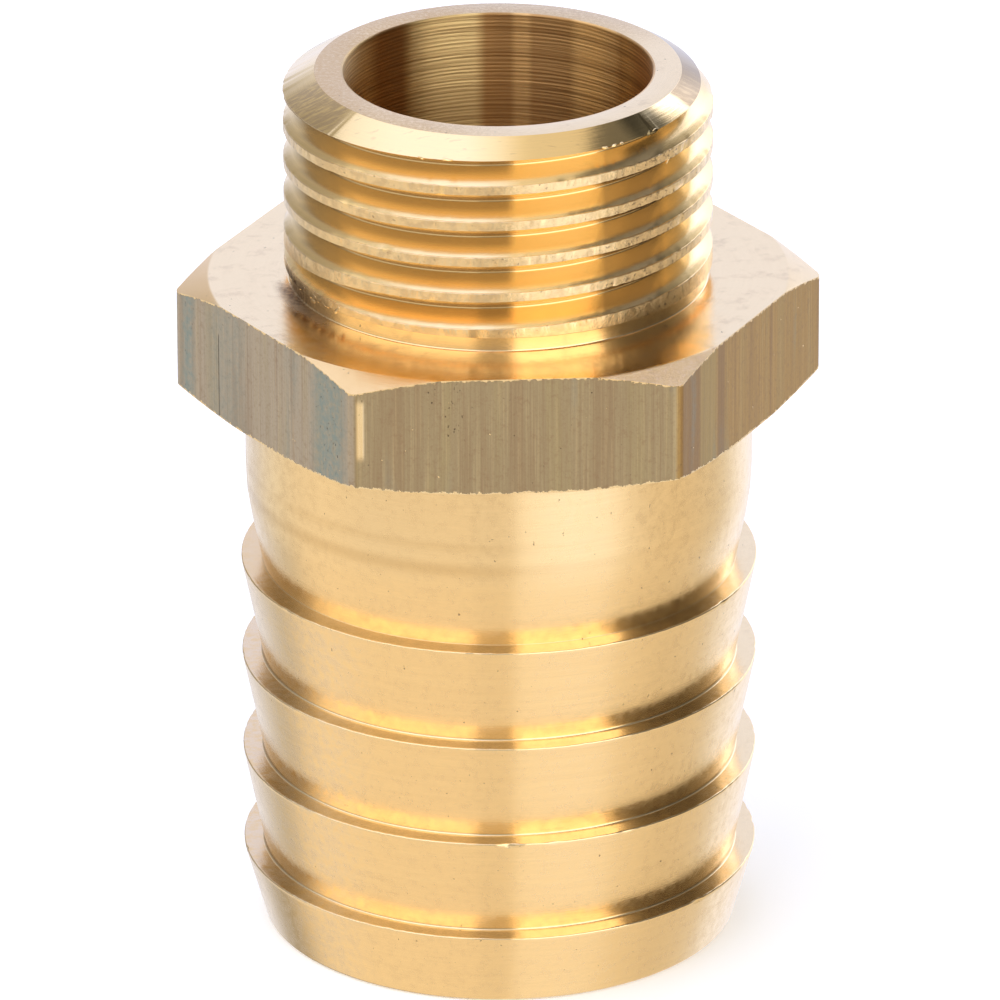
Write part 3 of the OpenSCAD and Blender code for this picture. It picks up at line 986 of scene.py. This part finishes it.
def make_studio_light(scene):
    """A white room with soft panels and dark gaps, laid out by direction."""
    world = bpy.data.worlds.new("Studio")
    scene.world = world
    world.use_nodes = True
    tree = world.node_tree
    tree.nodes.clear()
    toward = add_node(tree, "ShaderNodeTexCoord").outputs["Generated"]
    x, y, z = add_node(tree, "ShaderNodeSeparateXYZ", {0: toward}).outputs
    side = math_node(tree, "ARCTAN2", x, math_node(tree, "MULTIPLY", y, -1.0))
    place = math_node(tree, "MULTIPLY_ADD", side, 1 / math.tau, 0.5)
    slant = math_node(tree, "DIVIDE", x, math_node(tree, "MAXIMUM", z, 0.05))
    above = math_node(tree, "MULTIPLY_ADD", slant, 1 / (2 * CEILING_REACH), 0.5)
    leaning = math_node(tree, "MULTIPLY_ADD", y, 0.1, z)
    colour = light_band(tree, place, NEAR_LIGHT, HALF_TURN)
    # each layer takes over from the ones under it between its start and its end
    for stops, where, reach, height, start, end in (
            (FAR_LIGHT, place, HALF_TURN, z, -0.64, -0.46),
            (WALL_LIGHT, place, HALF_TURN, z, -0.16, -0.04),
            (HIGH_LIGHT, place, HALF_TURN, z, 0.1, 0.7),
            (CEILING_LIGHT, above, CEILING_REACH, leaning, 0.735, 0.76)):
        mask = add_node(tree, "ShaderNodeMapRange",
                        {"Value": height, "From Min": start, "From Max": end},
                        interpolation_type="SMOOTHSTEP").outputs[0]
        mix = add_node(tree, "ShaderNodeMix", {0: mask, 6: colour}, data_type="RGBA")
        tree.links.new(light_band(tree, where, stops, reach), mix.inputs[7])
        colour = mix.outputs[2]
    room = add_node(tree, "ShaderNodeBackground", {"Color": colour})
    seen = add_node(tree, "ShaderNodeBackground", {"Color": (1, 1, 1, 1)})
    ray = add_node(tree, "ShaderNodeLightPath").outputs["Is Camera Ray"]
    both = add_node(tree, "ShaderNodeMixShader", {0: ray, 1: room.outputs[0], 2: seen.outputs[0]})
    add_node(tree, "ShaderNodeOutputWorld", {"Surface": both.outputs[0]})


def floor_paper(table):
    """Matt white paper. The metal doesn't see it, only the room's light from below."""
    material = bpy.data.materials.new("white paper")
    material.use_nodes = True
    tree = material.node_tree
    tree.nodes.clear()
    paper = add_node(tree, "ShaderNodeBsdfDiffuse", {"Color": (*table.floor_colour, 1)})
    lift = add_node(tree, "ShaderNodeEmission", {"Color": (1, 1, 1, 1), "Strength": 0.3})
    both = add_node(tree, "ShaderNodeAddShader", {0: paper.outputs[0], 1: lift.outputs[0]})
    ray = add_node(tree, "ShaderNodeLightPath")
    gone = add_node(tree, "ShaderNodeBsdfTransparent")
    under = add_node(tree, "ShaderNodeNewGeometry").outputs["Backfacing"]
    clear = math_node(tree, "MULTIPLY", under, ray.outputs["Is Camera Ray"])
    clear = math_node(tree, "MAXIMUM", clear, ray.outputs["Is Glossy Ray"])
    mix = add_node(tree, "ShaderNodeMixShader", {0: clear, 1: both.outputs[0], 2: gone.outputs[0]})
    add_node(tree, "ShaderNodeOutputMaterial", {"Surface": mix.outputs[0]})
    return material


class NIPPLE_OT_set_stage(bpy.types.Operator):
    """Lay the floor, light the studio and set up the camera"""
    bl_idname = "nipple.set_stage"
    bl_label = "Set the stage"

    def execute(self, context):
        scene = context.scene
        table = scene.nipple_table
        deselect()
        bpy.ops.mesh.primitive_plane_add(size=table.floor_size, location=(0, 0, -FLOOR_GAP))
        floor = context.object
        floor.name = "Floor"
        floor.data.materials.append(floor_paper(table))
        bpy.ops.object.transform_apply(location=True, rotation=True, scale=True)
        make_studio_light(scene)

        height = table.camera_height
        ahead = Vector((0, math.cos(height), -math.sin(height)))
        up = Vector((0, math.sin(height), math.cos(height)))
        middle = Vector((0, 0, MIDDLE))
        data = bpy.data.cameras.new("Camera")
        data.lens = table.camera_lens
        data.sensor_width = 36.0
        data.clip_start = 0.01
        camera = bpy.data.objects.new("Camera", data)
        scene.collection.objects.link(camera)
        camera.location = middle - ahead * table.camera_away
        aim = middle + Vector((AIM_RIGHT, 0, 0)) - up * AIM_DOWN
        camera.rotation_mode = "QUATERNION"
        look = (aim - camera.location).to_track_quat("-Z", "Y")
        roll = Matrix.Rotation(-table.camera_roll, 3, "Z").to_quaternion()
        camera.rotation_quaternion = look @ roll
        scene.camera = camera
        scene.view_settings.view_transform = "Standard"
        return {"FINISHED"}


class NIPPLE_PT_panel(bpy.types.Panel):
    """Sizes, finishes and stage of the hose nipple"""
    bl_idname = "NIPPLE_PT_panel"
    bl_label = "Threaded hose nipple"
    bl_space_type = "VIEW_3D"
    bl_region_type = "UI"
    bl_category = "Nipple"

    def draw(self, context):
        layout = self.layout
        for name in ("nipple_sizes", "nipple_finish", "nipple_table"):
            group = getattr(context.scene, name)
            box = layout.box()
            for key in group.__annotations__:
                box.prop(group, key)
        layout.operator(NIPPLE_OT_make_nipple.bl_idname)
        layout.operator(NIPPLE_OT_set_stage.bl_idname)


CLASSES = (NippleSizes, BrassFinish, PhotoTable, NIPPLE_OT_make_nipple, NIPPLE_OT_set_stage,
           NIPPLE_PT_panel)


def register():
    for kind in CLASSES:
        bpy.utils.register_class(kind)
    scene = bpy.types.Scene
    scene.nipple_sizes = bpy.props.PointerProperty(type=NippleSizes)
    scene.nipple_finish = bpy.props.PointerProperty(type=BrassFinish)
    scene.nipple_table = bpy.props.PointerProperty(type=PhotoTable)


def unregister():
    scene = bpy.types.Scene
    del scene.nipple_sizes, scene.nipple_finish, scene.nipple_table
    for kind in reversed(CLASSES):
        bpy.utils.unregister_class(kind)


def main():
    register()
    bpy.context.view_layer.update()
    bpy.ops.nipple.make_nipple()
    bpy.ops.nipple.set_stage()


if __name__ == "__main__":
    main()
